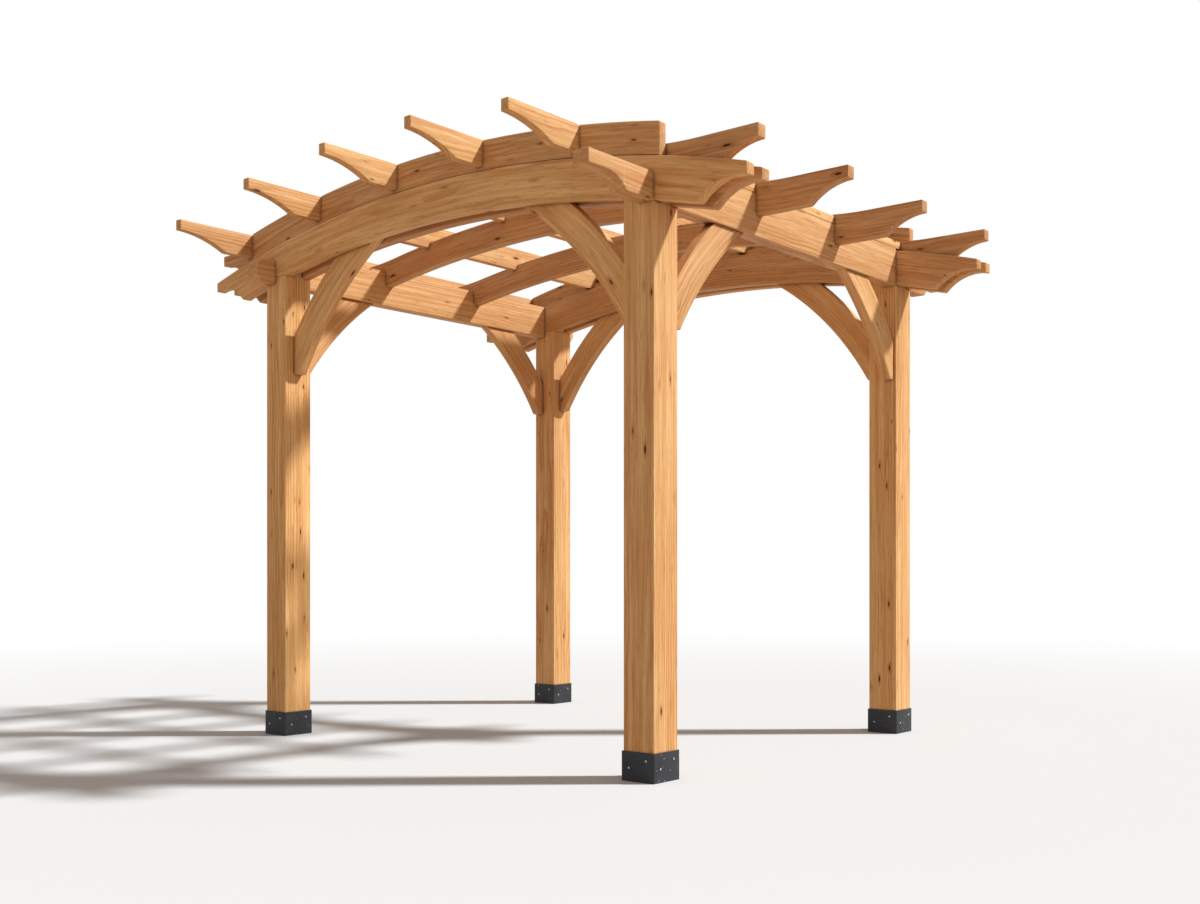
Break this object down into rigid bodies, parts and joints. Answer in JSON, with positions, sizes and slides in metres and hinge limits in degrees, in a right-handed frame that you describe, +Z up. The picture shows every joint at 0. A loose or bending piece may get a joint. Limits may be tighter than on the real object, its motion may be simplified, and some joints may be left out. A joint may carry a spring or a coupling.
{
  "type": "wooden pergola",
  "caption": "Free-standing wooden pergola: square posts in steel bases, curved knee braces, paired arched beams, straight side beams and an open roof of arched rafters and purlins.",
  "frame": {"origin": "on the ground under the plan centre of the four posts", "axes": "+X along the arched beams towards the right side beam, +Y along the purlins towards the back, +Z up"},
  "size_m": [3.322, 2.872, 2.64],
  "materials": {
    "timber": "clear oiled softwood, planed",
    "post_base_steel": "charcoal powder coat, satin"
  },
  "bodies": {
    "root": {"front_right_post_base": "post_base_steel", "front_left_post_base": "post_base_steel", "back_left_post_base": "post_base_steel", "back_right_post_base": "post_base_steel", "front_right_post": "timber", "front_left_post": "timber", "back_left_post": "timber", "back_right_post": "timber", "front_outer_arch_beam": "timber", "front_inner_arch_beam": "timber", "back_inner_arch_beam": "timber", "back_outer_arch_beam": "timber", "right_side_beam": "timber", "left_side_beam": "timber", "rafter_1": "timber", "rafter_2": "timber", "rafter_3": "timber", "rafter_4": "timber", "front_fascia_arch": "timber", "back_fascia_arch": "timber", "purlin_1": "timber", "purlin_2": "timber", "purlin_3": "timber", "purlin_4": "timber", "purlin_5": "timber", "front_right_arch_brace": "timber", "front_left_arch_brace": "timber", "back_left_arch_brace": "timber", "back_right_arch_brace": "timber", "front_right_side_brace": "timber", "front_left_side_brace": "timber", "back_left_side_brace": "timber", "back_right_side_brace": "timber", "right_eave_blocking": "timber"}
  },
  "joints": []
}
